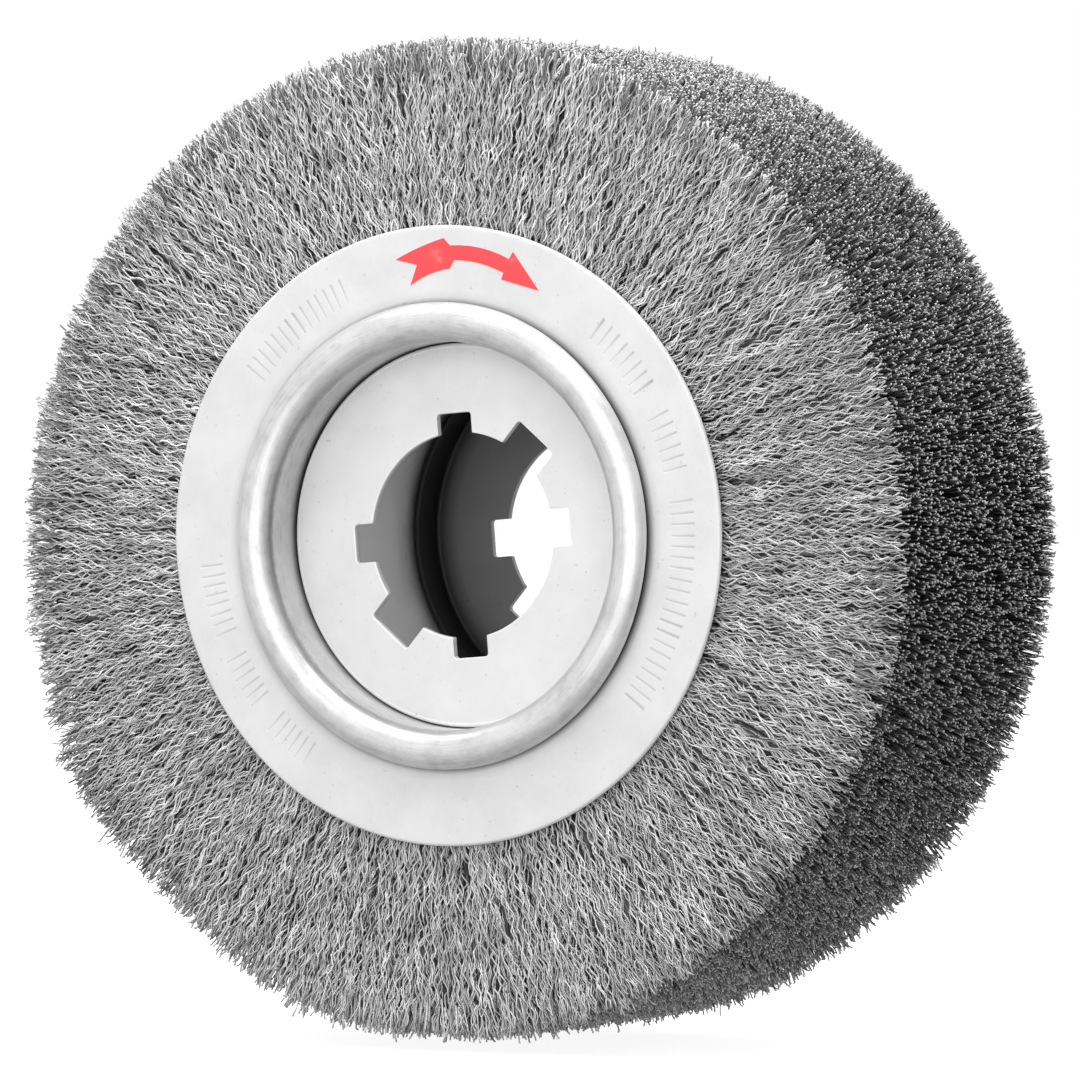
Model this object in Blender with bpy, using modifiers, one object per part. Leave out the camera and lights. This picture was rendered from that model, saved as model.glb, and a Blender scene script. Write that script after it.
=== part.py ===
"""Wide-face wheel brush of crimped steel wire on a pressed sheet-steel hub.

The brush axis is world Y and the front faces -Y. Z is up and the origin is the middle of the hub.
Metres throughout. Every turned part is drawn as a section: x is the radius and z the distance
towards the front. The section is spun round its own Z, then the object is turned to face -Y.
"""

import math

import bmesh
import bpy
import numpy as np

MM = 0.001

# Standard bore: 2 in arbor hole with two sizes of keyway.
BORE_R = 25.4 * MM
SMALL_KEY_HALF_WIDTH = 4.7625 * MM
SMALL_KEY_R = 30.1625 * MM
LARGE_KEY_HALF_WIDTH = 6.35 * MM
LARGE_KEY_R = 31.75 * MM
KEY_CORNER_R = 0.9 * MM
SMALL_KEYS_DEG = (0.0, 90.0, 180.0, 270.0)
LARGE_KEYS_DEG = (45.0, 225.0)
# How far the keyed plates are turned from upright, clockwise seen from the front.
CLOCKING_DEG = -4.74

# Keyed arbor plates: shallow pans with a collar that fits inside the core tube.
PLATE_FACE_Y = 36.5 * MM
PLATE_THICKNESS = 2.0 * MM
PLATE_R = 47.4 * MM
PLATE_EDGE_R = 1.2 * MM
COLLAR_THICKNESS = 1.5 * MM
COLLAR_HEIGHT = 12.0 * MM

# Core tube: rolled strip, both ends curled outwards over the flange rings.
TUBE_INNER_R = 47.7 * MM
TUBE_WALL = 1.5 * MM
CURL_OUTER_R = 4.9 * MM
CURL_CENTRE_Y = 46.8 * MM
CURL_SEGMENTS = 7

# Flange rings: flat washers of sheet that hold the wire in from each side.
FLANGE_OUTER_R = 76.2 * MM
FLANGE_INNER_R = 49.5 * MM
FLANGE_FACE_Y = 46.5 * MM
FLANGE_THICKNESS = 1.6 * MM
FLANGE_EDGE = 0.4 * MM

# Wire fill: sections side by side, each folded round its own retaining ring.
SECTIONS = 4
SECTION_PITCH = 22.3 * MM
SECTION_GAP = 0.3 * MM
FILL_OUTER_R = 124.5 * MM
FILL_INNER_R = 49.5 * MM
GROOVE_R = 55.0 * MM
GROOVE_HALF_WIDTH = 4.0 * MM
RETAINER_INNER_R = 50.2 * MM
RETAINER_OUTER_R = 54.4 * MM
RETAINER_HALF_WIDTH = 3.6 * MM

ROUND_STEPS = 64
CUTTER_INNER_R = 20.0 * MM
CUTTER_DEPTH = 30.0 * MM


def clear_scene():
    for obj in list(bpy.data.objects):
        bpy.data.objects.remove(obj, do_unlink=True)
    for mesh in list(bpy.data.meshes):
        bpy.data.meshes.remove(mesh)


def new_collection(name):
    collection = bpy.data.collections.new(name)
    bpy.context.scene.collection.children.link(collection)
    return collection


def new_material(name, colour, metallic, roughness):
    material = bpy.data.materials.new(name)
    material.use_nodes = True
    shader = material.node_tree.nodes["Principled BSDF"]
    shader.inputs["Base Color"].default_value = (*colour, 1.0)
    shader.inputs["Metallic"].default_value = metallic
    shader.inputs["Roughness"].default_value = roughness
    return material


def turned(name, section, material, collection, front=True):
    """A closed section (radius, distance to the front) spun a full turn.

    The section runs up its inner side and down its outer side, so that the faces point out.
    A rear copy is the front one mirrored: distances change sign and the order is reversed.
    """
    if not front:
        section = [(r, -z) for r, z in reversed(section)]
    mesh = bpy.data.meshes.new(name)
    count = len(section)
    points = [(r, 0.0, z) for r, z in section]
    edges = [(i, (i + 1) % count) for i in range(count)]
    mesh.from_pydata(points, edges, [])
    obj = bpy.data.objects.new(name, mesh)
    collection.objects.link(obj)
    obj.rotation_euler = (math.pi / 2, 0.0, 0.0)
    screw = obj.modifiers.new("spin", "SCREW")
    screw.axis = "Z"
    screw.angle = 2 * math.pi
    screw.steps = ROUND_STEPS
    screw.render_steps = ROUND_STEPS
    screw.use_merge_vertices = True
    screw.merge_threshold = 0.00005
    screw.use_smooth_shade = False
    mesh.materials.append(material)
    return obj


def arc(centre_r, centre_z, radius, start_deg, end_deg, segments):
    angles = np.radians(np.linspace(start_deg, end_deg, segments + 1))
    return [(centre_r + radius * math.cos(a), centre_z + radius * math.sin(a)) for a in angles]


def tube_section():
    """The strip's section: inner wall, front curl out and back, outer wall, rear curl out and back."""
    centre_r = TUBE_INNER_R + CURL_OUTER_R
    inside = CURL_OUTER_R - TUBE_WALL
    front_out = arc(centre_r, CURL_CENTRE_Y, CURL_OUTER_R, 180.0, 0.0, CURL_SEGMENTS)
    front_back = arc(centre_r, CURL_CENTRE_Y, inside, 0.0, 180.0, CURL_SEGMENTS)
    rear_out = arc(centre_r, -CURL_CENTRE_Y, inside, 180.0, 360.0, CURL_SEGMENTS)
    rear_back = arc(centre_r, -CURL_CENTRE_Y, CURL_OUTER_R, 360.0, 180.0, CURL_SEGMENTS)
    return front_out + front_back + rear_out + rear_back


def flange_section():
    back = FLANGE_FACE_Y - FLANGE_THICKNESS
    return [
        (FLANGE_INNER_R, back),
        (FLANGE_INNER_R, FLANGE_FACE_Y),
        (FLANGE_OUTER_R - FLANGE_EDGE, FLANGE_FACE_Y),
        (FLANGE_OUTER_R, FLANGE_FACE_Y - FLANGE_EDGE),
        (FLANGE_OUTER_R, back + FLANGE_EDGE),
        (FLANGE_OUTER_R - FLANGE_EDGE, back),
    ]


def plate_section():
    """The pan's section: face, rounded edge, collar running inwards along the tube."""
    back = PLATE_FACE_Y - PLATE_THICKNESS
    end = PLATE_FACE_Y - COLLAR_HEIGHT
    collar_r = PLATE_R - COLLAR_THICKNESS
    corner_r = PLATE_R - PLATE_EDGE_R
    corner_z = PLATE_FACE_Y - PLATE_EDGE_R
    points = [(CUTTER_INNER_R, back), (CUTTER_INNER_R, PLATE_FACE_Y)]
    points += arc(corner_r, corner_z, PLATE_EDGE_R, 90.0, 0.0, 3)
    points += [(PLATE_R, end), (collar_r, end), (collar_r, back)]
    return points


def fill_section(centre):
    half = (SECTION_PITCH - SECTION_GAP) / 2
    return [
        (FILL_INNER_R, centre - half),
        (FILL_INNER_R, centre - GROOVE_HALF_WIDTH),
        (GROOVE_R, centre - GROOVE_HALF_WIDTH),
        (GROOVE_R, centre + GROOVE_HALF_WIDTH),
        (FILL_INNER_R, centre + GROOVE_HALF_WIDTH),
        (FILL_INNER_R, centre + half),
        (FILL_OUTER_R, centre + half),
        (FILL_OUTER_R, centre - half),
    ]


def retainer_section(centre):
    return [
        (RETAINER_INNER_R, centre - RETAINER_HALF_WIDTH),
        (RETAINER_INNER_R, centre + RETAINER_HALF_WIDTH),
        (RETAINER_OUTER_R, centre + RETAINER_HALF_WIDTH),
        (RETAINER_OUTER_R, centre - RETAINER_HALF_WIDTH),
    ]


def keyway(angle_deg, half_width, outer_r):
    """One keyway's outline from bore edge to bore edge, as (angle, radius) in order of angle."""
    inner = math.sqrt(BORE_R**2 - half_width**2)
    side = half_width - KEY_CORNER_R
    level = outer_r - KEY_CORNER_R
    points = [(-half_width, inner)]
    for turn in np.radians(np.linspace(180.0, 90.0, 4)):
        points.append((-side + KEY_CORNER_R * math.cos(turn), level + KEY_CORNER_R * math.sin(turn)))
    for turn in np.radians(np.linspace(90.0, 0.0, 4)):
        points.append((side + KEY_CORNER_R * math.cos(turn), level + KEY_CORNER_R * math.sin(turn)))
    points.append((half_width, inner))
    base = math.radians(angle_deg)
    return [(base + math.atan2(x, y), math.hypot(x, y)) for x, y in points]


def bore_outline():
    """The keyed bore as (x, z), going clockwise seen from the front."""
    keys = [(a, SMALL_KEY_HALF_WIDTH, SMALL_KEY_R) for a in SMALL_KEYS_DEG]
    keys += [(a, LARGE_KEY_HALF_WIDTH, LARGE_KEY_R) for a in LARGE_KEYS_DEG]
    keys.sort()
    outline = []
    for index, key in enumerate(keys):
        outline += keyway(*key)
        following = keys[(index + 1) % len(keys)]
        start = outline[-1][0]
        end = math.radians(following[0]) - math.asin(following[1] / BORE_R)
        if index == len(keys) - 1:
            end += 2 * math.pi
        count = max(2, int(math.degrees(end - start) / 6.0))
        for angle in np.linspace(start, end, count + 1)[1:-1]:
            outline.append((angle, BORE_R))
    turn = math.radians(CLOCKING_DEG)
    return [(r * math.sin(a + turn), r * math.cos(a + turn)) for a, r in outline]


def bore_cutter(name, centre_y, collection):
    """A prism of the keyed outline, long enough to pass right through one plate."""
    outline = bore_outline()
    shape = bmesh.new()
    corners = [shape.verts.new((x, centre_y - CUTTER_DEPTH / 2, z)) for x, z in outline]
    face = shape.faces.new(corners)
    grown = bmesh.ops.extrude_face_region(shape, geom=[face])
    moved = [item for item in grown["geom"] if isinstance(item, bmesh.types.BMVert)]
    bmesh.ops.translate(shape, verts=moved, vec=(0.0, CUTTER_DEPTH, 0.0))
    bmesh.ops.recalc_face_normals(shape, faces=shape.faces)
    mesh = bpy.data.meshes.new(name)
    shape.to_mesh(mesh)
    shape.free()
    cutter = bpy.data.objects.new(name, mesh)
    cutter.hide_render = True
    cutter.display_type = "WIRE"
    collection.objects.link(cutter)
    return cutter


def cut(target, cutter):
    modifier = target.modifiers.new("keyed_bore", "BOOLEAN")
    modifier.operation = "DIFFERENCE"
    modifier.solver = "EXACT"
    modifier.object = cutter


def main():
    clear_scene()
    brush = new_collection("wheel_brush")
    cutters = new_collection("wheel_brush_cutters")
    cutters.hide_render = True

    plate_steel = (0.62, 0.63, 0.64)
    for side, front in (("front", True), ("rear", False)):
        flange_look = new_material(f"{side}_flange_steel", (0.66, 0.67, 0.68), 0.9, 0.38)
        turned(f"{side}_flange_ring", flange_section(), flange_look, brush, front)
        plate_look = new_material(f"{side}_plate_steel", plate_steel, 0.9, 0.42)
        plate = turned(f"{side}_arbor_plate", plate_section(), plate_look, brush, front)
        centre_y = -PLATE_FACE_Y if front else PLATE_FACE_Y
        cut(plate, bore_cutter(f"{side}_bore_cutter", centre_y, cutters))

    tube_look = new_material("tube_steel", (0.55, 0.56, 0.57), 0.9, 0.35)
    turned("core_tube", tube_section(), tube_look, brush)

    for index in range(SECTIONS):
        centre = ((SECTIONS - 1) / 2 - index) * SECTION_PITCH
        number = index + 1
        wire_look = new_material(f"wire_{number}", (0.30, 0.30, 0.31), 0.85, 0.45)
        turned(f"wire_fill_{number}", fill_section(centre), wire_look, brush)
        hoop_look = new_material(f"retainer_{number}", (0.45, 0.45, 0.46), 0.9, 0.4)
        turned(f"retaining_ring_{number}", retainer_section(centre), hoop_look, brush)


main()
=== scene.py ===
"""Looks of the wide-face wheel brush: a sheet-steel hub packed with crimped steel wire.

The brush axis is Y, the front faces -Y, Z is up. Angles round the brush are clockwise from the
top as seen from the front, so a point at angle a and radius r is (r sin a, y, r cos a).
Lengths in the tables are millimetres, and meshes are in metres.
"""

import math

import bpy
import numpy as np
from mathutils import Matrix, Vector


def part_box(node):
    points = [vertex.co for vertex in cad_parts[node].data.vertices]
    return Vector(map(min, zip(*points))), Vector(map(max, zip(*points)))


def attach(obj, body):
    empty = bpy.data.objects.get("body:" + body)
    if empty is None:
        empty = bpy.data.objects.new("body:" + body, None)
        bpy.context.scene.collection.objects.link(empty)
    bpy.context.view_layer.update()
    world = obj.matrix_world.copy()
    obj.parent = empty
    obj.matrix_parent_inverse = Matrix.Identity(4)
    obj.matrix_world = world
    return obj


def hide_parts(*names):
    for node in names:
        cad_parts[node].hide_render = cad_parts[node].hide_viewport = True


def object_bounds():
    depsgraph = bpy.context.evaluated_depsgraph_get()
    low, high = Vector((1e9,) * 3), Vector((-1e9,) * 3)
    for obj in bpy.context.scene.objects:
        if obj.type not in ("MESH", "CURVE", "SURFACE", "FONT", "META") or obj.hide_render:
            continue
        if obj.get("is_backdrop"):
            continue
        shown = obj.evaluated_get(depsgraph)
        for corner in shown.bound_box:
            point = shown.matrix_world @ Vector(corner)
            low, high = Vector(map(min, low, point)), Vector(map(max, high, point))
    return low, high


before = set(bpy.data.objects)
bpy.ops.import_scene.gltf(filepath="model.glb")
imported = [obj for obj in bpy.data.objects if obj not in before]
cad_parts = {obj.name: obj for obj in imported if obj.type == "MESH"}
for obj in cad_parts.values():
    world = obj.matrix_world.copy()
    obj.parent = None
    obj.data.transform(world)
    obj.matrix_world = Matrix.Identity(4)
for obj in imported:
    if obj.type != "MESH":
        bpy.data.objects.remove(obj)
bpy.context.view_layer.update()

MM = 0.001
SIDES = {"front": -1.0, "rear": 1.0}


def half_width(node):
    """Outer radius of a turned CAD node, in millimetres."""
    low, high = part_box(node)
    return (high.x - low.x) / 2 / MM


def reach(node):
    """Nearest and furthest distance of a CAD node from the middle plane, in millimetres."""
    low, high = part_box(node)
    near, far = sorted((abs(low.y), abs(high.y)))
    return near / MM, far / MM


FLANGE_R = half_width("front_flange_ring")
FLANGE_BACK, FLANGE_FACE = reach("front_flange_ring")
PLATE_R = half_width("front_arbor_plate")
COLLAR_END, PLATE_FACE = reach("front_arbor_plate")
CURL_R = half_width("core_tube")
CURL_CROWN = reach("core_tube")[1]
FILL_R = half_width("wire_fill_1")
FILL_FACE = reach("wire_fill_1")[1]

# The hub's sheet: wall of the tube, size of its curls, thickness of the plates, hole of the flange rings.
TUBE_R = 47.7
TUBE_WALL = 1.5
CURL_MINOR = (CURL_R - TUBE_R) / 2
CURL_LEVEL = CURL_CROWN - CURL_MINOR
PLATE_THICKNESS = 2.0
COLLAR_WALL = 1.5
FLANGE_INNER_R = 49.5

# Keyed bore. Each key has a centre in degrees, a half width and an outer radius.
BORE_R = 25.4
CLOCKING_DEG = -4.74
KEYS = [(a, 4.7625, 30.1625) for a in (0.0, 90.0, 180.0, 270.0)]
KEYS += [(a, 6.35, 31.75) for a in (45.0, 225.0)]
KEY_CORNER_R = 0.9

# Wire: its radius, and the length and height of one crimp.
WIRE_R = 0.235
CRIMP_LENGTH = 6.0
CRIMP_HEIGHT = 0.56
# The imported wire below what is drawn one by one: its radii, and how far it comes to each side.
BED_INNER_R = 55.6
BED_R = 116.0
BED_FACE = 41.2
BED_COLUMNS = 240

# The ends of the wire stand on a circle with a few worn hollows and bulges. Each is an angle and a
# spread in degrees, and a height in millimetres that is below zero for a hollow.
TIP_R = 123.2
FRONT_BULGES = [
    (0, 35, -1.0), (88, 38, 1.1), (197, 12, 1.4), (220, 8, -1.2), (240, 8, 2.5), (282, 35, -2.2),
]
REAR_BULGES = [(10, 38, -1.3), (92, 34, 0.8), (160, 14, 1.0), (300, 45, -0.8)]


# ---------------------------------------------------------------- meshes

def link_new(name, data):
    """A new object that holds the given mesh, lamp or camera, in the scene."""
    obj = bpy.data.objects.new(name, data)
    bpy.context.scene.collection.objects.link(obj)
    return obj


def put_mesh(name, points, quads, tris=None):
    """Points (n, 3) in millimetres and faces as index arrays become one mesh object, in metres.

    Quads are shaded smooth. Triangles are end caps and stay flat.
    """
    points = np.asarray(points, float).reshape(-1, 3) * MM
    quads = np.asarray(quads, np.int32).reshape(-1, 4)
    tris = np.zeros((0, 3), np.int32) if tris is None else np.asarray(tris, np.int32)
    loops = np.concatenate([quads.ravel(), tris.ravel()])
    totals = np.concatenate([np.full(len(quads), 4), np.full(len(tris), 3)])
    starts = np.concatenate([[0], np.cumsum(totals)[:-1]]).astype(np.int32)
    mesh = bpy.data.meshes.new(name)
    mesh.vertices.add(len(points))
    mesh.vertices.foreach_set("co", points.astype(np.float32).ravel())
    mesh.loops.add(len(loops))
    mesh.loops.foreach_set("vertex_index", loops.astype(np.int32))
    mesh.polygons.add(len(totals))
    mesh.polygons.foreach_set("loop_start", starts)
    mesh.update(calc_edges=True)
    mesh.polygons.foreach_set("use_smooth", np.arange(len(totals)) < len(quads))
    mesh.update()
    return link_new(name, mesh)


def volume_sign(points, quads):
    """Sign of the enclosed volume: the sum over faces of corner . (edge x edge)."""
    a, b, c, d = (points[quads[:, i]] for i in range(4))
    six = np.einsum("ij,ij->i", a, np.cross(b, c)).sum()
    six += np.einsum("ij,ij->i", a, np.cross(c, d)).sum()
    return 1.0 if six > 0 else -1.0


def closed_ring(name, radius, depth, angles, side, tone=1.0):
    """A tube bent into a ring: radius and depth are (rows, columns) grids, closed both ways.

    Each column stands at one angle, and each row goes once round the brush.
    depth is the distance from the middle plane on the given side. tone multiplies the colour.
    """
    rows, columns = radius.shape
    points = np.stack([radius * np.sin(angles), side * depth, radius * np.cos(angles)], -1)
    points = points.reshape(-1, 3)
    i, j = np.meshgrid(np.arange(rows), np.arange(columns), indexing="ij")
    down, across = (i + 1) % rows, (j + 1) % columns
    corners = [i * columns + j, down * columns + j, down * columns + across, i * columns + across]
    quads = np.stack(corners, -1).reshape(-1, 4)
    if volume_sign(points, quads) < 0:
        quads = quads[:, ::-1]
    return set_values(put_mesh(name, points, quads), "tone", np.broadcast_to(tone, radius.shape))


def set_values(obj, name, values):
    """One number per vertex, which the materials read by name."""
    attribute = obj.data.attributes.new(name, "FLOAT", "POINT")
    attribute.data.foreach_set("value", np.asarray(values, np.float32).ravel())
    return obj


def ring_angles(columns):
    """Evenly spaced angles once round, in radians."""
    return np.arange(columns) * 2 * np.pi / columns


def arc(centre_r, centre_z, radius, start_deg, end_deg, segments):
    """Points of a circular arc in a section: (radius, depth) rows."""
    a = np.radians(np.linspace(start_deg, end_deg, segments + 1))
    return np.stack([centre_r + radius * np.cos(a), centre_z + radius * np.sin(a)], -1)


def wavy(angles, seed, waves=9):
    """Smooth random function of angle, about -1 to 1: a sum of sines with falling heights."""
    draw = np.random.default_rng(seed)
    total = np.zeros_like(angles)
    for k in range(1, waves + 1):
        total = total + draw.normal() / math.sqrt(k) * np.sin(k * angles + draw.uniform(0, 2 * np.pi))
    return total / 2.2


# ---------------------------------------------------------------- materials

def new_material(name):
    """A material with its node tree and its Principled shader."""
    material = bpy.data.materials.new(name)
    material.use_nodes = True
    tree = material.node_tree
    shader = tree.nodes["Principled BSDF"]
    return material, tree, shader


def object_noise(tree, scale, detail=3.0, roughness=0.5, stretch=(1, 1, 1)):
    """Noise on Object coordinates, in cycles per metre, stretched by the mapping."""
    coords = tree.nodes.new("ShaderNodeTexCoord")
    mapping = tree.nodes.new("ShaderNodeMapping")
    mapping.inputs["Scale"].default_value = stretch
    noise = tree.nodes.new("ShaderNodeTexNoise")
    noise.inputs["Scale"].default_value = scale
    noise.inputs["Detail"].default_value = detail
    noise.inputs["Roughness"].default_value = roughness
    tree.links.new(coords.outputs["Object"], mapping.inputs["Vector"])
    tree.links.new(mapping.outputs["Vector"], noise.inputs["Vector"])
    return noise.outputs["Fac"]


def vertex_value(tree, name):
    """The number that a mesh holds for each vertex under this name."""
    node = tree.nodes.new("ShaderNodeAttribute")
    node.attribute_name = name
    return node.outputs["Fac"]


def ramp(tree, value, stops):
    """Colour by value, between stops given as (place, colour)."""
    node = tree.nodes.new("ShaderNodeValToRGB")
    elements = node.color_ramp.elements
    while len(elements) < len(stops):
        elements.new(0.5)
    for element, (place, colour) in zip(elements, stops):
        element.position = place
        element.color = (*colour, 1.0) if len(colour) == 3 else colour
    tree.links.new(value, node.inputs["Fac"])
    return node.outputs["Color"]


def mix_colour(tree, mode, amount, a, b):
    """Blend of two colours. Each input is a value or another node's output."""
    node = tree.nodes.new("ShaderNodeMix")
    node.data_type = "RGBA"
    node.blend_type = mode
    for socket, value in ((node.inputs[0], amount), (node.inputs[6], a), (node.inputs[7], b)):
        if isinstance(value, bpy.types.NodeSocket):
            tree.links.new(value, socket)
        else:
            socket.default_value = value
    return node.outputs[2]


def grey(value):
    """Neutral colour."""
    return (value, value, value)


def add_bump(tree, shader, height, strength, distance):
    """Fine roughness of the surface, distance metres deep."""
    bump = tree.nodes.new("ShaderNodeBump")
    bump.inputs["Strength"].default_value = strength
    bump.inputs["Distance"].default_value = distance
    tree.links.new(height, bump.inputs["Height"])
    tree.links.new(bump.outputs["Normal"], shader.inputs["Normal"])


def sheet_steel(name, light, dark, rough_low, rough_high, metallic, toned=True):
    """Dull plated sheet: cloudy tone with small darker specks, times the 'tone' of the vertex."""
    material, tree, shader = new_material(name)
    clouds = ramp(tree, object_noise(tree, 70.0, 9.0, 0.72), [(0.36, grey(dark)), (0.6, grey(light))])
    specks = ramp(tree, object_noise(tree, 800.0, 2.0, 0.5), [(0.23, grey(0.72)), (0.31, grey(1.0))])
    tone = mix_colour(tree, "MULTIPLY", 1.0, clouds, specks)
    if toned:
        tone = mix_colour(tree, "MULTIPLY", 1.0, tone, vertex_value(tree, "tone"))
    tree.links.new(tone, shader.inputs["Base Color"])
    rough = ramp(tree, object_noise(tree, 140.0, 4.0, 0.6), [(0.3, grey(rough_low)), (0.7, grey(rough_high))])
    tree.links.new(rough, shader.inputs["Roughness"])
    shader.inputs["Metallic"].default_value = metallic
    add_bump(tree, shader, object_noise(tree, 700.0, 3.0, 0.6), 0.12, 0.00006)
    return material


def wire_steel(name, dark, light, roughness, metallic=1.0):
    """Drawn wire: its own tone from the 'shade' attribute, which on rim wires also holds painted shade, with
    fine dark spots.
    """
    material, tree, shader = new_material(name)
    tone = ramp(tree, vertex_value(tree, "shade"), [(0.0, grey(dark)), (1.0, grey(light))])
    spots = ramp(tree, object_noise(tree, 420.0, 2.0, 0.5), [(0.35, grey(0.7)), (0.6, grey(1.0))])
    tree.links.new(mix_colour(tree, "MULTIPLY", 1.0, tone, spots), shader.inputs["Base Color"])
    shader.inputs["Metallic"].default_value = metallic
    shader.inputs["Roughness"].default_value = roughness
    return material


def round_axis(tree, turns, radius_scale, along_scale):
    """Coordinates that follow the ring: turns of the angle, radius and depth, each scaled."""
    place = tree.nodes.new("ShaderNodeTexCoord")
    parts = tree.nodes.new("ShaderNodeSeparateXYZ")
    tree.links.new(place.outputs["Object"], parts.inputs[0])

    def math_node(kind, a, b):
        node = tree.nodes.new("ShaderNodeMath")
        node.operation = kind
        for socket, value in zip(node.inputs, (a, b)):
            if isinstance(value, float):
                socket.default_value = value
            elif value is not None:
                tree.links.new(value, socket)
        return node.outputs[0]

    x, y, z = parts.outputs
    angle = math_node("ARCTAN2", x, z)
    square = math_node("ADD", math_node("MULTIPLY", x, x), math_node("MULTIPLY", z, z))
    radius = math_node("SQRT", square, None)
    joined = tree.nodes.new("ShaderNodeCombineXYZ")
    tree.links.new(math_node("MULTIPLY", angle, turns), joined.inputs[0])
    tree.links.new(math_node("MULTIPLY", radius, radius_scale), joined.inputs[1])
    tree.links.new(math_node("MULTIPLY", y, along_scale), joined.inputs[2])
    return joined.outputs[0]


def ring_noise(tree, turns, radius_scale, along_scale, detail):
    """Noise that is drawn out along the ring, the radius or the depth, by how each is scaled."""
    noise = tree.nodes.new("ShaderNodeTexNoise")
    noise.inputs["Scale"].default_value = 1.0
    noise.inputs["Detail"].default_value = detail
    tree.links.new(round_axis(tree, turns, radius_scale, along_scale), noise.inputs["Vector"])
    return noise.outputs["Fac"]


def turned_steel(name, light, dark, rough_low, rough_high, metallic):
    """Sheet with fine lines running round the ring, and cloudy marks stretched the same way."""
    material, tree, shader = new_material(name)
    lines = ramp(tree, ring_noise(tree, 3.0, 3200.0, 3200.0, 3.0), [(0.36, grey(dark)), (0.6, grey(light))])
    marks = ramp(tree, ring_noise(tree, 14.0, 700.0, 700.0, 5.0), [(0.3, grey(0.86)), (0.46, grey(1.0))])
    cloud = ramp(tree, object_noise(tree, 95.0, 8.0, 0.7), [(0.36, grey(0.72)), (0.56, grey(1.0))])
    tone = mix_colour(tree, "MULTIPLY", 1.0, mix_colour(tree, "MULTIPLY", 0.6, lines, cloud), marks)
    tone = mix_colour(tree, "MULTIPLY", 1.0, tone, vertex_value(tree, "tone"))
    tree.links.new(tone, shader.inputs["Base Color"])
    rough = ramp(tree, object_noise(tree, 140.0), [(0.3, grey(rough_low)), (0.7, grey(rough_high))])
    tree.links.new(rough, shader.inputs["Roughness"])
    shader.inputs["Metallic"].default_value = metallic
    return material


def packed_wire(name, dark, light):
    """Wire deep in the brush: narrow streaks that run outwards, most of them dark as painted shade."""
    material, tree, shader = new_material(name)
    streaks = ramp(tree, ring_noise(tree, 170.0, 90.0, 700.0, 3.0), [(0.44, grey(dark)), (0.68, grey(light))])
    tree.links.new(streaks, shader.inputs["Base Color"])
    shader.inputs["Metallic"].default_value = 0.3
    shader.inputs["Roughness"].default_value = 0.7
    return material


def red_ink(name):
    """Printed ink, paler in the few places where it has rubbed thin."""
    material, tree, shader = new_material(name)
    wear_and_shade = object_noise(tree, 160.0, 4.0, 0.65)
    tone = ramp(tree, wear_and_shade, [(0.3, (1.0, 0.14, 0.14)), (0.42, (0.95, 0.06, 0.07))])
    tree.links.new(tone, shader.inputs["Base Color"])
    shader.inputs["Roughness"].default_value = 0.5
    return material


# ---------------------------------------------------------------- hub

# Columns round a turned piece, and round the flange ring whose strokes have to come out sharp.
COLUMNS = 480
STAMPED_COLUMNS = 1440

# Rows along the tube's wall on one side, from the curl to the middle, as (distance from the middle,
# tone). The tone is painted shade that gets dark towards the plate's face, which is at 36.5, and painted
# light of WALL_TONE inside the plates, where light comes in through the bore.
WALL_TONE = 1.75
WALL_ROWS = [
    (46.7, 0.45), (46.4, 1.1), (46.2, 0.88), (39.5, 0.8), (37.6, 0.55), (36.6, 0.3), (35.5, 0.1),
    (26.0, 0.2), (21.0, 0.55 * WALL_TONE), (14.0, 0.95 * WALL_TONE), (7.0, WALL_TONE),
]
CURL_STEPS = 25
CURL_END_STEPS = 6


def curl_grid(angles, seed):
    """One curl of the tube's end as (radius, depth, tone) grids: outside, sheet's end, inside.

    The turn angle runs from the wall (180 degrees) over the crown to a free edge, whose lift above
    the flange wanders a little round the ring. The sheet's end is a half circle.
    """
    centre = TUBE_R + CURL_MINOR
    sheet_half = TUBE_WALL / 2
    lift = 14.0 + 3.0 * np.clip(wavy(angles, seed), -1, 1) + 11.0 * np.sin(angles)
    turns = np.linspace(0.0, 1.0, CURL_STEPS)[:, None]
    outer = np.radians(180.0 + (lift[None, :] - 180.0) * turns)
    inner = outer[::-1]
    end = np.radians(np.linspace(0.0, 180.0, CURL_END_STEPS + 1)[1:-1])[:, None]
    edge_turn = np.radians(lift)[None, :]
    mid_r = centre + (CURL_MINOR - sheet_half) * np.cos(edge_turn)
    mid_z = CURL_LEVEL + (CURL_MINOR - sheet_half) * np.sin(edge_turn)
    radius = np.concatenate([
        centre + CURL_MINOR * np.cos(outer),
        mid_r + sheet_half * np.cos(edge_turn - end),
        centre + (CURL_MINOR - TUBE_WALL) * np.cos(inner),
    ])
    depth = np.concatenate([
        CURL_LEVEL + CURL_MINOR * np.sin(outer),
        mid_z + sheet_half * np.sin(edge_turn - end),
        CURL_LEVEL + (CURL_MINOR - TUBE_WALL) * np.sin(inner),
    ])
    return radius, depth, np.concatenate([curl_tone(angles, outer, seed), hidden_tone(len(angles))])


def curl_tone(angles, outer, seed):
    """Tone of the curl's outside: painted shade in a patchy band where it turns in to the wall and on the
    outer flank, both heavier on the left.
    """
    slope = np.clip(1.0 - np.abs(np.degrees(outer) - 165.0) / 32.0, 0, 1)
    # Painted shade on the inward slope, heavier on the left and patchy round the ring.
    wear_and_shade = 0.36 - 0.22 * np.sin(angles) + 0.08 * np.clip(wavy(angles, seed + 2), -1, 1)
    # Painted shade on the outer flank, darker on the left than on the right.
    flank = np.clip(1.0 - np.degrees(outer) / 62.0, 0, 1)
    return (1.0 - wear_and_shade * slope) * (1.0 - 0.24 * flank * (0.6 - 0.4 * np.sin(angles)))


def hidden_tone(columns):
    """Tone of the sheet's end and of the curl's inside, with painted shade that gets dark within a few rows.
    """
    fall = np.array([1.0, 1.0, 0.8, 0.4, 0.2] + [0.05] * CURL_STEPS)
    return np.repeat(fall[:, None], columns, 1)


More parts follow.
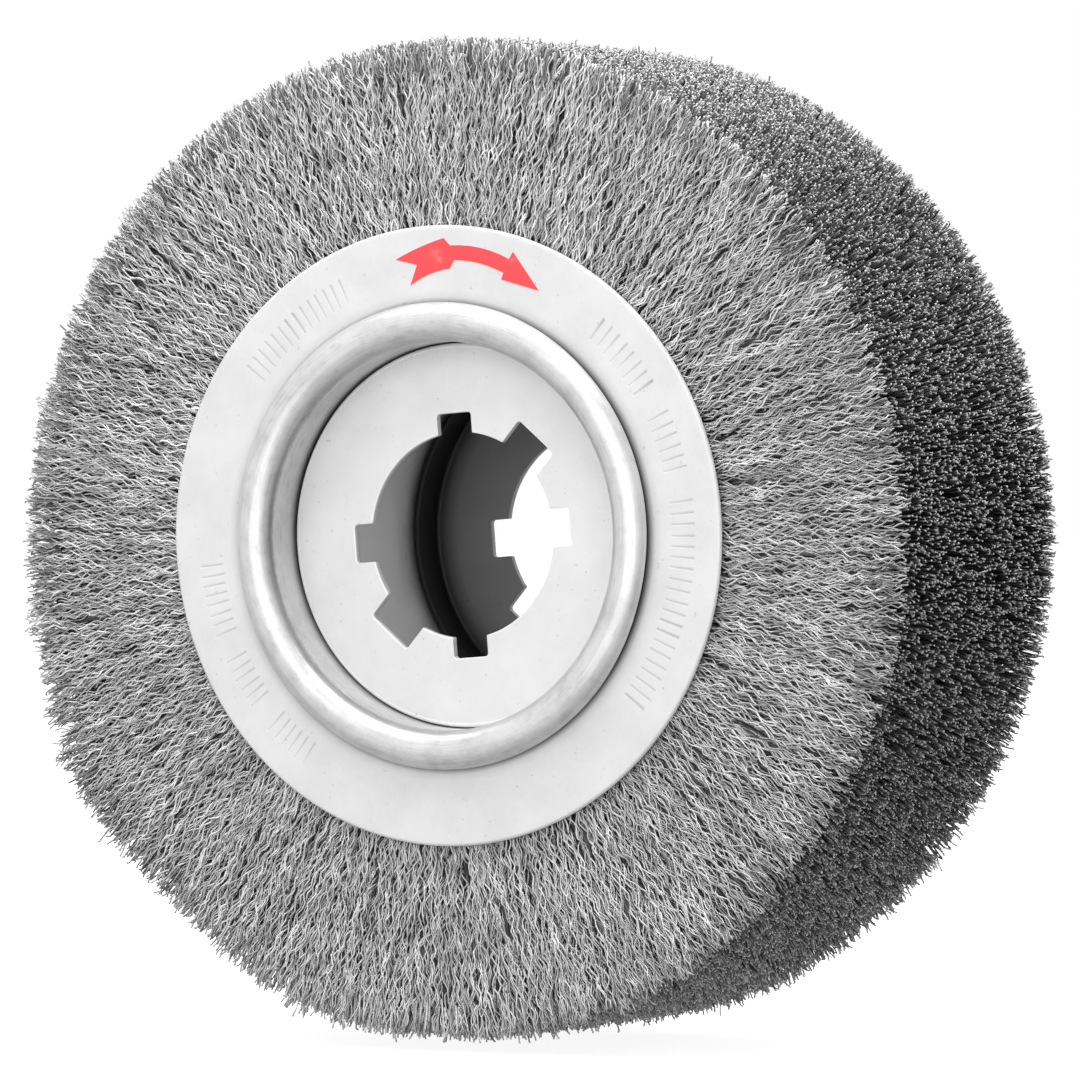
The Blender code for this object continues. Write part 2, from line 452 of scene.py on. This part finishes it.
def wall_grid(angles):
    """The tube's wall from the rear curl to the front one, as (radius, depth, tone) grids.

    Between the plates the tone is cloudy, with painted light on one side. Where the wall meets a
    plate it has painted shade, and painted light on the side that the light reaches.
    """
    half = np.array(WALL_ROWS)
    wall = np.concatenate([-half[:, 0], [0.0], half[::-1, 0]])
    near = np.concatenate([half[:, 1], [WALL_TONE], half[::-1, 1]])
    # cloud: painted light, lighter on one side of the wall, with a little random cloudiness.
    cloud = 1.0 + 0.38 * np.cos(angles + np.radians(130.0))
    cloud = cloud + 0.12 * np.clip(wavy(angles, 17, 24), -1, 1)
    between_plates = (np.abs(wall) < 25.0)[:, None]
    # crevice: rows of painted shade where the wall meets a plate; lit adds painted light to them on one side.
    crevice = ((np.abs(wall) > 35.2) & (np.abs(wall) < 40.0))[:, None]
    tone = near[:, None] * np.where(between_plates, cloud, 1.0)
    lit = 0.5 + 0.5 * np.cos(angles - np.radians(110.0))
    tone = np.where(crevice, tone + (1.2 - tone) * lit**0.7, tone)
    return np.full((len(wall), len(angles)), TUBE_R), np.repeat(wall[:, None], len(angles), 1), tone


def tube_piece():
    """Core tube: front curl, rear curl, and the inner wall that joins them."""
    angles = ring_angles(COLUMNS)
    front = curl_grid(angles, 11)
    rear_radius, rear_depth, rear_tone = (grid[::-1] for grid in curl_grid(angles, 12))
    grids = [front, (rear_radius, -rear_depth, rear_tone), wall_grid(angles)]
    radius, depth, tone = (np.concatenate(parts) for parts in zip(*grids))
    return closed_ring("core_tube_skin", radius, depth, angles, -1.0, tone)


def flange_rows(rows):
    """Section of the flange ring as (radius, depth): face, half-round outer edge, back."""
    half = (FLANGE_FACE - FLANGE_BACK) / 2
    middle = (FLANGE_FACE + FLANGE_BACK) / 2
    face = np.array([(r, FLANGE_FACE) for r in rows])
    edge = arc(FLANGE_R - half, middle, half, 90.0, -90.0, 12)[1:-1]
    back = np.array([(r, FLANGE_BACK) for r in (FLANGE_R - half, 60.0, FLANGE_INNER_R)])
    return np.concatenate([face, edge, back])


# Arcs of shallow stamped strokes, which stand for no letters: first and last angle, and the number of
# slots in each group. A slot holds two strokes, this share of a slot off its middle.
STAMPED = [(-54.0, -24.0, (7,)), (39.0, 128.0, (4, 3, 10)), (-146.0, -96.0, (3, 3, 4))]
STAMP_IN, STAMP_OUT, STAMP_DEPTH = 63.0, 69.2, 0.16
STROKE_OFFSET = 0.26
STROKE_HALF_DEG = 0.14
# Painted shade on the flange ring next to the curl, as radii and the tone at each.
FOOT_RADII = [56.4, 57.3, 58.6, 60.4]
FOOT_TONES = [0.08, 0.42, 0.88, 1.0]


def stamp_mask(angles):
    """1 inside a stroke and 0 outside. Each arc's groups of strokes are evenly spaced with a gap."""
    mask = np.zeros_like(angles)
    degrees = (np.degrees(angles) + 180.0) % 360.0 - 180.0
    for first, last, groups in STAMPED:
        slots = sum(groups) + len(groups) - 1
        pitch = (last - first) / slots
        place = 0
        for count in groups:
            for _ in range(count):
                centre = first + (place + 0.5) * pitch
                for offset in (-STROKE_OFFSET, STROKE_OFFSET):
                    inside = np.abs(degrees - centre - offset * pitch) < STROKE_HALF_DEG
                    mask = np.maximum(mask, inside)
                place += 1
            place += 1
    return mask


def flange_piece(side_name, stamped):
    """Flange ring: washer with a half-round edge, strokes pressed in where the mask says.

    Its outer half waves by 0.08 mm, as thin sheet does. It has painted shade next to the curl and
    in the pressed strokes.
    """
    side = SIDES[side_name]
    columns = STAMPED_COLUMNS if stamped else COLUMNS
    angles = ring_angles(columns)
    half = (FLANGE_FACE - FLANGE_BACK) / 2
    rows = [FLANGE_INNER_R, *FOOT_RADII, STAMP_IN - 0.5, STAMP_IN - 0.1, STAMP_IN]
    stroke_rows = slice(len(rows) - 1, len(rows) + 1)
    rows += [STAMP_OUT, STAMP_OUT + 0.1, STAMP_OUT + 0.5, 74.5, FLANGE_R - half]
    section = flange_rows(rows)
    radius = np.repeat(section[:, :1], columns, 1)
    depth = np.repeat(section[:, 1:], columns, 1)
    if stamped:
        depth[stroke_rows] -= STAMP_DEPTH * stamp_mask(angles)
    wave = 0.08 * np.clip(wavy(angles, 31), -1, 1)[None, :]
    depth = depth + wave * ((radius - 58.0).clip(0) / 18.0) ** 2
    # Painted shade next to the curl.
    tone = np.interp(radius, FOOT_RADII, FOOT_TONES)
    if stamped:
        # Painted shade in the pressed strokes.
        tone[stroke_rows] *= 1.0 - 0.25 * stamp_mask(angles)
    return closed_ring(f"{side_name}_flange_skin", radius, depth, angles, side, tone)


def bore_columns():
    """Angles and radii of the keyed bore's outline, close together at the corners."""
    angles, radii = [], []
    keys = sorted(KEYS)
    for index, (centre, half, outer) in enumerate(keys):
        inner = math.sqrt(BORE_R**2 - half**2)
        sides = np.linspace(0.0, 1.0, 7)
        level = outer - KEY_CORNER_R
        left = [(-half, inner + (level - inner) * t) for t in sides]
        turn = np.radians(np.linspace(180.0, 90.0, 8)[1:])
        corner = -half + KEY_CORNER_R
        left += [(corner + KEY_CORNER_R * math.cos(t), level + KEY_CORNER_R * math.sin(t)) for t in turn]
        flat = [(x, outer) for x in np.linspace(corner, -corner, 13)[1:-1]]
        points = left + flat + [(-x, z) for x, z in reversed(left)]
        for x, z in points:
            angles.append(math.radians(centre) + math.atan2(x, z))
            radii.append(math.hypot(x, z))
        following = keys[(index + 1) % len(keys)]
        start = angles[-1]
        end = math.radians(following[0]) - math.asin(following[1] / BORE_R)
        end += 2 * math.pi if index == len(keys) - 1 else 0.0
        steps = max(3, int(math.degrees(end - start) / 1.5))
        for a in np.linspace(start, end, steps + 1)[1:-1]:
            angles.append(a)
            radii.append(BORE_R)
    return np.array(angles) + math.radians(CLOCKING_DEG), np.array(radii)


# Rounding of the plate's bore edge and of its outer shoulder.
PLATE_EDGE = 0.35
PLATE_SHOULDER = 1.25


def plate_rows(bore):
    """Section of the keyed plate as (radius, depth) rows: bore, face, collar and back.

    Rows at the bore follow its outline plus a small rounding, and the rest are plain circles.
    """
    edge, corner = PLATE_EDGE, PLATE_SHOULDER
    face, back = PLATE_FACE, PLATE_FACE - PLATE_THICKNESS
    rows = [(bore, back + edge), (bore, face - edge), (bore + 0.06, face - 0.06), (bore + edge, face)]
    rows.append((bore + edge + 0.15, face))
    for share in (0.12, 0.4, 0.75, 1.0):
        rows.append((bore + edge + (PLATE_R - corner - bore - edge) * share, face))
    rows += [tuple(row) for row in arc(PLATE_R - corner, face - corner, corner, 90.0, 0.0, 8)[1:]]
    inner = PLATE_R - COLLAR_WALL
    rows += [(PLATE_R, 30.0), (PLATE_R, COLLAR_END + 0.3), (PLATE_R - 0.3, COLLAR_END)]
    rows += [(inner + 0.3, COLLAR_END), (inner, COLLAR_END + 0.3), (inner, 30.0)]
    rows += [tuple(row) for row in arc(inner - 1.0, back - 1.0, 1.0, 0.0, 90.0, 5)]
    rows += [(43.4, back), (40.0, back), (bore + 4.0, back), (bore + edge, back)]
    rows.append((bore + 0.06, back + 0.06))
    return rows


def plate_tone(rows):
    """Tone of each row: 1 on the face, painted highlights on its edges, painted shade inside, nearly black by
    the collar.
    """
    back = PLATE_FACE - PLATE_THICKNESS
    circle = np.array([np.ndim(r) == 0 for r, _ in rows])
    radius = np.array([r if np.ndim(r) == 0 else 0.0 for r, _ in rows])
    depth = np.array([z for _, z in rows])
    # Painted shade: nearly black on the collar, darker on the plate's inner side.
    collar = (depth < back - 0.2) & circle & (radius < PLATE_R - 0.2)
    tone = np.where(collar, 0.012, np.where(depth < PLATE_FACE - 1.0, 0.34, 1.0))
    # Painted highlight on the outer shoulder.
    shoulder = circle & (radius > PLATE_R - PLATE_SHOULDER + 0.2) & (depth > back)
    tone = np.where(shoulder, 1.3, tone)
    # Painted shade on the bore's wall, and a painted highlight on the bore's edge.
    tone[:2] = 0.9
    tone[2:4] = 1.12
    # Painted shade in the inside corner between plate and collar, and in the two rows next to it.
    tone[-10:-3] = [0.02, 0.02, 0.02, 0.03, 0.06, 0.16, 0.3]
    return tone


def plate_piece(side_name):
    """Keyed plate, with painted light that makes it a little lighter at the top than at the bottom."""
    angles, bore = bore_columns()
    rows = plate_rows(bore)
    radius = np.stack([np.broadcast_to(r, len(angles)) for r, _ in rows])
    depth = np.stack([np.full(len(angles), z) for _, z in rows])
    # Painted light, stronger at the top.
    tone = plate_tone(rows)[:, None] * (1.0 + 0.07 * np.cos(angles))
    return closed_ring(f"{side_name}_plate_skin", radius, depth, angles, SIDES[side_name], tone)


# Corners of the arrow as (radius, degrees, sweep). The edge to the next corner follows the ring and
# bows outwards by its sweep, and with None it is straight.
ARROW = [
    (69.0, -11.0, 0.0), (73.0, 0.2, None), (71.2, 1.6, 0.6), (70.2, 15.2, None), (72.2, 15.7, None),
    (65.6, 24.0, None), (64.8, 14.5, None), (66.5, 14.7, 0.45), (67.6, 2.7, None), (65.5, 1.7, 0.45),
    (62.0, -8.4, None), (66.8, -6.2, None),
]
SWEEP_STEPS = 6
INK = 0.05


def arrow_piece():
    """Direction arrow: a flat outline of straight and swept edges, as thick as a coat of ink.

    On a swept edge, radius = straight run in radius and angle + 4 sweep t (1 - t), t from 0 to 1.
    """
    edges = []
    for (r, a, sweep), (next_r, next_a, _) in zip(ARROW, ARROW[1:] + ARROW[:1]):
        for step in range(1 if sweep is None else SWEEP_STEPS):
            t = step / SWEEP_STEPS
            bow = 4 * (sweep or 0.0) * t * (1 - t)
            edges.append((r + (next_r - r) * t + bow, math.radians(a + (next_a - a) * t)))
    outline = np.array([(r * math.sin(a), r * math.cos(a)) for r, a in edges])
    count = len(outline)
    lower = np.column_stack([outline[:, 0], np.full(count, -FLANGE_FACE + 0.06), outline[:, 1]])
    upper = lower - np.array([0.0, 0.06 + INK, 0.0])
    upper[:, 1] -= 0.03
    points = np.concatenate([lower, upper]) * MM
    ring = np.arange(count)
    after = (ring + 1) % count
    faces = [tuple(int(v) for v in ring[::-1]), tuple(int(v) for v in ring + count)]
    faces += [tuple(int(v) for v in row) for row in np.stack([ring, after, after + count, ring + count], -1)]
    mesh = bpy.data.meshes.new("direction_arrow")
    mesh.from_pydata(points.tolist(), [], faces)
    return link_new("direction_arrow", mesh)


# ---------------------------------------------------------------- wire

def worn_circle(angles, bulges):
    """Radius by angle: the circle plus height * exp(-(degrees off centre / spread)^2) for each bulge."""
    radius = np.full_like(angles, TIP_R)
    for centre, spread, height in bulges:
        off_centre = (np.degrees(angles) - centre + 180.0) % 360.0 - 180.0
        radius = radius + height * np.exp(-((off_centre / spread) ** 2))
    return radius


def tip_radius(angles, along):
    """Where the wire ends, by angle and by place along the width (-1 front, 1 rear)."""
    share = (along + 1) / 2
    return worn_circle(angles, FRONT_BULGES) * (1 - share) + worn_circle(angles, REAR_BULGES) * share


def sweep_wires(name, paths, radii, shades):
    """Three-sided wires along many paths at once, each with its own radii and shades.

    paths is (wires, steps, 3). At each step two directions square to the wire's run carry three
    corners at 120 degrees; neighbouring steps are joined by quads and both ends are capped.
    """
    count, steps, _ = paths.shape
    run = np.gradient(paths, axis=1)
    run /= np.linalg.norm(run, axis=2, keepdims=True)
    guide = np.cross(run[:, :1], np.roll(run[:, :1], 1, axis=2) + np.array([0.3, 0.5, 0.2]))
    guide = np.repeat(guide, steps, 1)
    first = np.cross(run, guide)
    first /= np.linalg.norm(first, axis=2, keepdims=True)
    second = np.cross(run, first)
    corners = []
    for turn in (0.0, 2 * np.pi / 3, 4 * np.pi / 3):
        corners.append(paths + radii[..., None] * (math.cos(turn) * first + math.sin(turn) * second))
    points = np.stack(corners, 2).reshape(-1, 3)
    wire, step, corner = np.meshgrid(np.arange(count), np.arange(steps - 1), np.arange(3), indexing="ij")
    base = (wire * steps + step) * 3
    after = (corner + 1) % 3
    quads = np.stack([base + corner, base + after, base + 3 + after, base + 3 + corner], -1).reshape(-1, 4)
    start = np.arange(count) * steps * 3
    end = start + (steps - 1) * 3
    tris = np.concatenate([
        np.stack([start, start + 2, start + 1], -1),
        np.stack([end, end + 1, end + 2], -1),
    ])
    obj = put_mesh(name, points, quads, tris)
    shades = np.broadcast_to(shades.reshape(count, -1, 1), (count, steps, 3))
    return set_values(obj, "shade", shades)


# Neighbouring wires stand in bunches round the brush.
BUNCHES = 260
# Wires drawn on each face and on each section's rim, and the steps along one.
FRONT_WIRES, FRONT_STEPS = 12800, 9
REAR_WIRES, REAR_STEPS = 7500, 8
RIM_WIRES = 9000
# Face wires lie in layers down to this depth, and come out from under the flange ring at ROOT_R.
LAYERS = 2.6
ROOT_R = 73.5
# Places along a rim wire, as the distance in from its tip, and how light the wire is at each, which is
# painted shade deeper in and a painted highlight at the tip.
RIM_INWARD = np.array([[7.0, 1.0, 0.32, 0.0]])
RIM_FADE = np.array([[0.05, 0.09, 0.5, 1.15]])
RIM_SWELL = np.array([[1.0, 1.0, 1.0, 1.12]])


def bunches(draw):
    """The lean, crimp phase, reach and tone that each bunch shares. The phase drifts round the brush."""
    return {
        "lean": draw.normal(0.0, 0.13, BUNCHES),
        "phase": np.cumsum(draw.normal(0.0, 0.45, BUNCHES)),
        "tuft": draw.normal(0.0, 0.7, BUNCHES),
        "tone": draw.uniform(-0.06, 0.06, BUNCHES),
    }


def bunch_at(angles):
    """Number of the bunch that stands at each angle."""
    return (angles / (2 * np.pi) * BUNCHES).astype(int)


def raggedness(angles, least, more):
    """How far ends stray: least over the top, and up to that much more towards the lower left."""
    return least + more * np.clip(0.4 - np.cos(angles - 0.6), 0, 1)


def span_ends(draw, made, side, start_angle):
    """Middle, inner and outer radius of each face wire, whether its outer end is free, and its layer.

    Free tips near the face end up to 5 mm lower, which rounds the brush's edge.
    """
    count = len(start_angle)
    middle = np.sqrt(draw.uniform(71.0**2, 122.0**2, count))
    length = draw.uniform(9.0, 15.0, count)
    tips = tip_radius(start_angle, np.full(count, side))
    low = np.maximum(middle - length / 2, ROOT_R)
    high = middle + length / 2
    loose = high > tips - 3.5
    stick_out = made["tuft"][bunch_at(start_angle) % BUNCHES] + draw.normal(0.0, 0.5, count)
    layer = draw.uniform(0.0, 1.0, count) ** 1.1 * LAYERS
    shoulder = (1.0 - layer / LAYERS) ** 1.5 * draw.uniform(0.0, 5.0, count)
    ragged = raggedness(start_angle, 0.55, 0.85)
    high = np.where(loose, tips + stick_out * ragged - shoulder, high)
    return middle, low, high, loose, layer


def face_paths(draw, made, side, start_angle, steps):
    """Paths (wires, steps, 3) and shades of the face wires that start at these angles.

    Along a wire, angle = start + (lean * run + wave + wander) / radius, and depth = face - layer
    - a dive at each buried end. The wave is the sine crimp, mostly across the face. Three wires
    in four take the lean and the phase of their bunch.
    """
    count = len(start_angle)
    middle, low, high, loose, layer = span_ends(draw, made, side, start_angle)
    rooted = low < ROOT_R + 1.0
    bunch = (bunch_at(start_angle) + draw.integers(0, 2, count)) % BUNCHES
    joins = draw.uniform(size=count) < 0.75
    shared_lean = made["lean"][bunch] + draw.normal(0, 0.09, count)
    lean = np.where(joins, shared_lean, draw.normal(0, 0.2, count))
    shared_phase = made["phase"][bunch] + draw.normal(0, 0.5, count)
    phase = np.where(joins, shared_phase, draw.uniform(0, 2 * np.pi, count))
    t = np.linspace(0.0, 1.0, steps)[None, :]
    run = low[:, None] + (high - low)[:, None] * t
    dive_in = np.where(rooted[:, None], 0.0, np.clip(1 - t * 5, 0, 1) ** 2)
    dive_out = np.where(loose[:, None], 0.0, np.clip(t * 5 - 4, 0, 1) ** 2)
    wave_length = CRIMP_LENGTH * draw.normal(1.0, 0.022, count)
    height = CRIMP_HEIGHT * draw.uniform(0.75, 1.2, count)
    plane = draw.normal(0.0, 0.4, count)
    wave = np.sin(2 * np.pi * run / wave_length[:, None] + phase[:, None]) * height[:, None]
    wander = np.sin(run / 9.0 + draw.uniform(0, 6.28, count)[:, None])
    wander = wander * draw.normal(0, 0.35, count)[:, None]
    across = lean[:, None] * (run - middle[:, None]) + wave * np.cos(plane)[:, None] + wander
    angle = start_angle[:, None] + across / run
    depth = FILL_FACE - 0.15 - layer[:, None] - 1.6 * (dive_in + dive_out)
    depth = depth + 0.6 * wave * np.sin(plane)[:, None]
    under = np.clip((80.0 - run) / 4.0, 0, 1)
    depth = np.minimum(depth, FLANGE_BACK - 0.35 - 0.3 * under)
    paths = np.stack([run * np.sin(angle), side * depth, run * np.cos(angle)], -1)
    return paths, np.clip(0.55 + made["tone"][bunch] + draw.normal(0, 0.2, count), 0, 1)


def face_wires(side_name, letters, total, seed, steps):
    """Wire seen along its length on one side: one piece for each letter, each over its own wedge."""
    draw = np.random.default_rng(seed)
    made = bunches(draw)
    count = total // len(letters)
    wedge = 2 * np.pi / len(letters)
    radii = np.full((count, steps), WIRE_R)
    pieces = []
    for index, letter in enumerate(letters):
        start_angle = index * wedge + draw.uniform(0, wedge, count)
        paths, shades = face_paths(draw, made, SIDES[side_name], start_angle, steps)
        pieces.append(sweep_wires(f"{side_name}_wires_{letter}", paths, radii, shades))
    return pieces


def rim_tips(draw, angle, along):
    """Radius of each tip on the rim.

    It is the worn circle, plus a clump height that near neighbours share (seven sines over the
    rim), plus a little of its own. Tips at the two edges end lower, and a few strays stick out.
    """
    count = len(angle)
    clump = np.zeros(count)
    for _ in range(7):
        k_angle = draw.integers(60, 330)
        k_along = draw.normal(0, 1.3)
        clump += 0.17 * np.sin(k_angle * angle + k_along * along + draw.uniform(0, 6.28))
    ragged = raggedness(angle, 0.65, 1.0)
    tips = tip_radius(angle, along / FILL_FACE) + (clump + draw.normal(0, 0.3, count)) * ragged
    edge = np.clip(1.0 - (FILL_FACE - np.abs(along)) / 3.0, 0, 1)
    tips = tips - edge**2 * draw.uniform(0.0, 3.5, count)
    strays = draw.uniform(size=count) < 0.012 * ragged**2
    return np.where(strays, tips + draw.uniform(0.4, 2.2, count), tips)


def rim_fade(angle, along):
    """How light a rim wire is at each place: painted shade inside and a painted highlight at its tip.

    Painted light gets further in at the two edges, at the top and at the bottom, so no place there is
    darker than a floor.
    """
    open_side = np.clip(1.0 - (FILL_FACE - np.abs(along)) / 4.0, 0, 1)[:, None]
    upward = np.clip(np.cos(angle), 0, 1)[:, None]
    downward = np.clip(-np.cos(angle), 0, 1)[:, None]
    fade = RIM_FADE * (1.0 - 0.12 * upward)
    floor = np.maximum(0.55 * open_side, 0.75 * upward + 0.85 * downward)
    return np.maximum(fade * (1.0 - 0.4 * open_side), floor)


def rim_wires(number, total, seed):
    """Wire ends over one section's rim.

    Each wire leans both ways, its crimp bends it as it goes into the brush, and its cut tip is
    hooked a little and slightly thicker.
    """
    draw = np.random.default_rng(seed)
    low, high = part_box(f"wire_fill_{number}")
    near, far = low.y / MM - 0.4, high.y / MM + 0.4
    angle = draw.uniform(0, 2 * np.pi, total)
    along = np.clip(draw.uniform(near, far, total), -FILL_FACE + 0.05, FILL_FACE - 0.05)
    run = rim_tips(draw, angle, along)[:, None] - RIM_INWARD
    lean_round = draw.normal(0, 0.13, total)[:, None]
    lean_along = draw.normal(0, 0.10, total)[:, None]
    hook = draw.normal(0, 0.2, (2, total, 1)) * (RIM_INWARD == 0.0)
    plane = draw.uniform(0, 2 * np.pi, total)[:, None]
    phase = draw.uniform(0, 2 * np.pi, total)[:, None]
    wave = CRIMP_HEIGHT * 0.8 * np.sin(2 * np.pi * RIM_INWARD / CRIMP_LENGTH + phase)
    angles = angle[:, None] + (wave * np.cos(plane) - lean_round * RIM_INWARD + hook[0]) / run
    depth = along[:, None] + wave * np.sin(plane) - lean_along * RIM_INWARD + hook[1]
    depth = np.clip(depth, -FILL_FACE, FILL_FACE)
    paths = np.stack([run * np.sin(angles), depth, run * np.cos(angles)], -1)
    # Each wire's own tone, times its painted shade and highlight.
    shades = np.clip(draw.normal(0.7, 0.2, total), 0, 1)[:, None] * rim_fade(angle, along)
    radii = np.full((total, 1), WIRE_R) * RIM_SWELL
    return sweep_wires(f"rim_wires_{number}", paths, radii, shades)


def bed_piece(number):
    """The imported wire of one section, below what is drawn: a ring with its outer corners cut off.

    It is a little wider than its section, so that no light shows between two of them.
    """
    low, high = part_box(f"wire_fill_{number}")
    near = max(low.y / MM - 0.145, -BED_FACE)
    far = min(high.y / MM + 0.145, BED_FACE)
    section = np.array([
        (BED_INNER_R, near), (BED_R - 1.0, near), (BED_R, near + 1.0),
        (BED_R, far - 1.0), (BED_R - 1.0, far), (BED_INNER_R, far),
    ])
    angles = ring_angles(BED_COLUMNS)
    radius = np.repeat(section[:, :1], BED_COLUMNS, 1)
    depth = np.repeat(section[:, 1:], BED_COLUMNS, 1)
    return closed_ring(f"wire_bed_{number}", radius, depth, angles, 1.0)


# ---------------------------------------------------------------- build

flange_steel = sheet_steel("flange_steel", 0.70, 0.64, 0.45, 0.55, 0.15)
plate_steel = sheet_steel("plate_steel", 0.755, 0.70, 0.45, 0.55, 0.15)
tube_steel = turned_steel("tube_steel", 0.74, 0.65, 0.3, 0.38, 0.5)
face_wire = wire_steel("face_wire", 0.46, 1.0, 0.55, 0.45)
rim_wire = wire_steel("rim_wire", 0.015, 0.84, 0.6, 0.25)
# buried_wire is coloured dark as painted shade deep in the brush.
buried_wire = packed_wire("buried_wire", 0.03, 0.34)
hoop_steel = sheet_steel("hoop_steel", 0.5, 0.4, 0.35, 0.5, 1.0, toned=False)
arrow_ink = red_ink("arrow_ink")


def finish_piece(obj, material, stands_for=()):
    """Gives a piece its material, hangs it under the root body, and hides the CAD nodes that it stands for.
    """
    obj.data.materials.append(material)
    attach(obj, "root")
    if stands_for:
        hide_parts(*stands_for)


finish_piece(tube_piece(), tube_steel, ["core_tube"])
finish_piece(flange_piece("front", True), flange_steel, ["front_flange_ring"])
finish_piece(flange_piece("rear", False), flange_steel, ["rear_flange_ring"])
for side_name in SIDES:
    node = f"{side_name}_arbor_plate"
    finish_piece(plate_piece(side_name), plate_steel, [node])
finish_piece(arrow_piece(), arrow_ink)
for number in range(1, 5):
    finish_piece(bed_piece(number), buried_wire, [f"wire_fill_{number}"])
    finish_piece(rim_wires(number, RIM_WIRES, 100 + number), rim_wire)
    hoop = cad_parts[f"retaining_ring_{number}"]
    hoop.data.materials.clear()
    hoop.data.materials.append(hoop_steel)
for piece in face_wires("front", "abcd", FRONT_WIRES, 7, FRONT_STEPS):
    finish_piece(piece, face_wire)
for piece in face_wires("rear", "abc", REAR_WIRES, 8, REAR_STEPS):
    finish_piece(piece, face_wire)

# ---------------------------------------------------------------- floor, light, camera

low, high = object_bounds()
FLOOR_R = 6000
FLOOR_SIDES = 96


def floor_piece():
    """Round pale floor, level with the lowest wire."""
    level = low.z / MM
    points = [(0.0, 0.0, level)]
    points += [(FLOOR_R * math.sin(a), FLOOR_R * math.cos(a), level) for a in ring_angles(FLOOR_SIDES)]
    faces = [(0, 1 + (i + 1) % FLOOR_SIDES, 1 + i) for i in range(FLOOR_SIDES)]
    mesh = bpy.data.meshes.new("floor")
    mesh.from_pydata((np.array(points) * MM).tolist(), [], faces)
    obj = link_new("floor", mesh)
    material, tree, shader = new_material("floor_paint")
    shader.inputs["Base Color"].default_value = (0.35, 0.35, 0.35, 1.0)
    shader.inputs["Roughness"].default_value = 0.9
    shader.inputs["Specular IOR Level"].default_value = 0.0
    shader.inputs["Emission Color"].default_value = (1.0, 1.0, 1.0, 1.0)
    shader.inputs["Emission Strength"].default_value = 0.9
    mesh.materials.append(material)
    obj.visible_glossy = False
    obj.visible_diffuse = False
    return obj


floor_piece()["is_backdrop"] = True


def soft_light(name, place, width, height, power):
    """A square lamp at the given place, turned to face the brush."""
    lamp = bpy.data.lights.new(name, "AREA")
    lamp.shape = "RECTANGLE"
    lamp.size = width
    lamp.size_y = height
    lamp.energy = power
    obj = link_new(name, lamp)
    obj.location = place
    obj.rotation_mode = "QUATERNION"
    obj.rotation_quaternion = (-Vector(place)).to_track_quat("-Z", "Y")


soft_light("key_light", (0.6, -1.9, 0.2), 2.2, 2.2, 20.0)
soft_light("top_light", (-0.1, -0.1, 1.6), 1.8, 1.8, 50.0)
soft_light("rear_light", (-0.5, 1.9, 0.5), 1.6, 1.6, 12.0)


def light_room():
    """The room: white where it is looked at, and as a light brighter towards the front left and above."""
    world = bpy.data.worlds.new("studio")
    world.use_nodes = True
    bpy.context.scene.world = world
    tree = world.node_tree
    background = tree.nodes["Background"]
    heading = tree.nodes.new("ShaderNodeTexCoord")
    facing = tree.nodes.new("ShaderNodeVectorMath")
    facing.operation = "DOT_PRODUCT"
    facing.inputs[1].default_value = Vector((-0.15, -0.8, 0.42)).normalized()
    tree.links.new(heading.outputs["Generated"], facing.inputs[0])
    room = tree.nodes.new("ShaderNodeMapRange")
    room.inputs["From Min"].default_value = -0.7
    room.inputs["From Max"].default_value = 1.0
    room.inputs["To Min"].default_value = 0.26
    room.inputs["To Max"].default_value = 0.95
    tree.links.new(facing.outputs["Value"], room.inputs["Value"])
    seen = tree.nodes.new("ShaderNodeLightPath")
    strength = tree.nodes.new("ShaderNodeMix")
    strength.inputs["B"].default_value = 1.0
    tree.links.new(seen.outputs["Is Camera Ray"], strength.inputs["Factor"])
    tree.links.new(room.outputs["Result"], strength.inputs["A"])
    tree.links.new(strength.outputs["Result"], background.inputs["Strength"])
    background.inputs["Color"].default_value = (1.0, 1.0, 1.0, 1.0)


light_room()

# Where the camera stands, seen from what it aims at, and how far off in metres.
AZIMUTH, ELEVATION, DISTANCE = math.radians(28.02), math.radians(1.193), 2.0618
AIM = Vector((0.00178, 0.00087, -0.00186))
camera_data = bpy.data.cameras.new("camera")
camera_data.sensor_width = 36.0
camera_data.lens = 274.78
camera_data.clip_start = 0.1
camera_data.clip_end = 50.0
camera = link_new("camera", camera_data)
towards_camera = Vector((
    math.sin(AZIMUTH) * math.cos(ELEVATION),
    -math.cos(AZIMUTH) * math.cos(ELEVATION),
    math.sin(ELEVATION),
))
camera.location = AIM + towards_camera * DISTANCE
camera.rotation_mode = "QUATERNION"
camera.rotation_quaternion = (-towards_camera).to_track_quat("-Z", "Y")
bpy.context.scene.camera = camera
bpy.context.scene.view_settings.view_transform = "Standard"

low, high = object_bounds()
